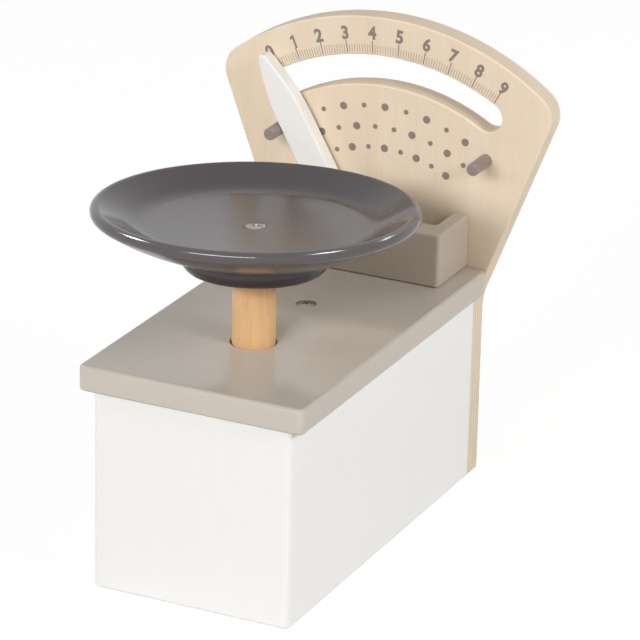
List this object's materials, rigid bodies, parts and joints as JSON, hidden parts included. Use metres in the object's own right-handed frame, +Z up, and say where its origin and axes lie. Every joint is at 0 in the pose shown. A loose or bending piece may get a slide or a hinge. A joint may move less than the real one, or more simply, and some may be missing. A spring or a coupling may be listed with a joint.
{
  "type": "toy kitchen scale",
  "caption": "Wooden toy kitchen scale: a white box carries a grey dish on a sliding post, and a hidden lever swings a pointer across a slotted plywood dial board.",
  "frame": {"origin": "middle of the bounding box's bottom face, on the floor under the box", "axes": "+X to the right of someone facing the dish, +Y from the dish towards the dial board, +Z up"},
  "size_m": [0.166, 0.2144, 0.2185],
  "materials": {
    "white_paint": "satin white paint on wood",
    "taupe_paint": "satin warm grey paint on wood",
    "dish_lacquer": "glossy dark grey lacquer on turned wood",
    "plywood": "clear satin varnish on pale plywood",
    "beech": "clear satin varnish on beech",
    "grey_paint": "satin grey paint on dowel",
    "steel": "bright zinc-plated steel",
    "spring_steel": "plain spring steel"
  },
  "bodies": {
    "box": {"front_panel": "white_paint", "left_side_panel": "white_paint", "right_side_panel": "white_paint", "bottom_panel": "white_paint", "top_plate": "taupe_paint", "pointer_housing": "taupe_paint", "backboard": "plywood", "left_batten": "beech", "right_batten": "beech", "plate_dowel_1": "beech", "plate_dowel_2": "beech", "plate_dowel_3": "beech", "plate_dowel_4": "beech", "guide_cup": "beech", "fulcrum_block": "beech", "left_stop_peg": "grey_paint", "right_stop_peg": "grey_paint", "bottom_screw_1": "steel", "bottom_screw_2": "steel", "bottom_screw_3": "steel", "bottom_screw_4": "steel", "backboard_screw_1": "steel", "backboard_screw_2": "steel", "backboard_screw_3": "steel", "backboard_screw_4": "steel", "left_housing_screw": "steel", "right_housing_screw": "steel", "fulcrum_screw": "steel", "lever_pivot_pin": "steel", "pointer_pivot_pin": "steel", "pointer_washer": "steel", "return_spring": "spring_steel"},
    "dish_post": {"weighing_dish": "dish_lacquer", "dish_screw": "steel", "post": "beech", "cross_pin": "steel"},
    "lever": {"lever": "beech", "lever_riser": "beech", "drive_pin": "steel"},
    "pointer": {"pointer": "white_paint"}
  },
  "joints": [
    {"name": "post_slide", "type": "slide", "parent": "box", "child": "dish_post", "axis": [0.0244, -0.0506, -0.9984], "range_m": [0, 0.012], "stiffness_N_per_m": 500, "springref_m": -0.006, "deforming": ["return_spring"]},
    {"name": "lever_hinge", "type": "hinge", "parent": "box", "child": "lever", "pos_m": [0, 0.01514, 0.073], "axis": [1, 0, 0], "range_deg": [0, 12.9]},
    {"name": "pointer_hinge", "type": "hinge", "parent": "box", "child": "pointer", "pos_m": [0, 0.08899, 0.0897], "axis": [0, 1, 0], "range_deg": [0, 60]}
  ],
  "couplings": [
    {"joint": "lever_hinge", "follows": "post_slide", "rad_per_m": 18.752},
    {"joint": "pointer_hinge", "follows": "post_slide", "rad_per_m": 87.266}
  ]
}
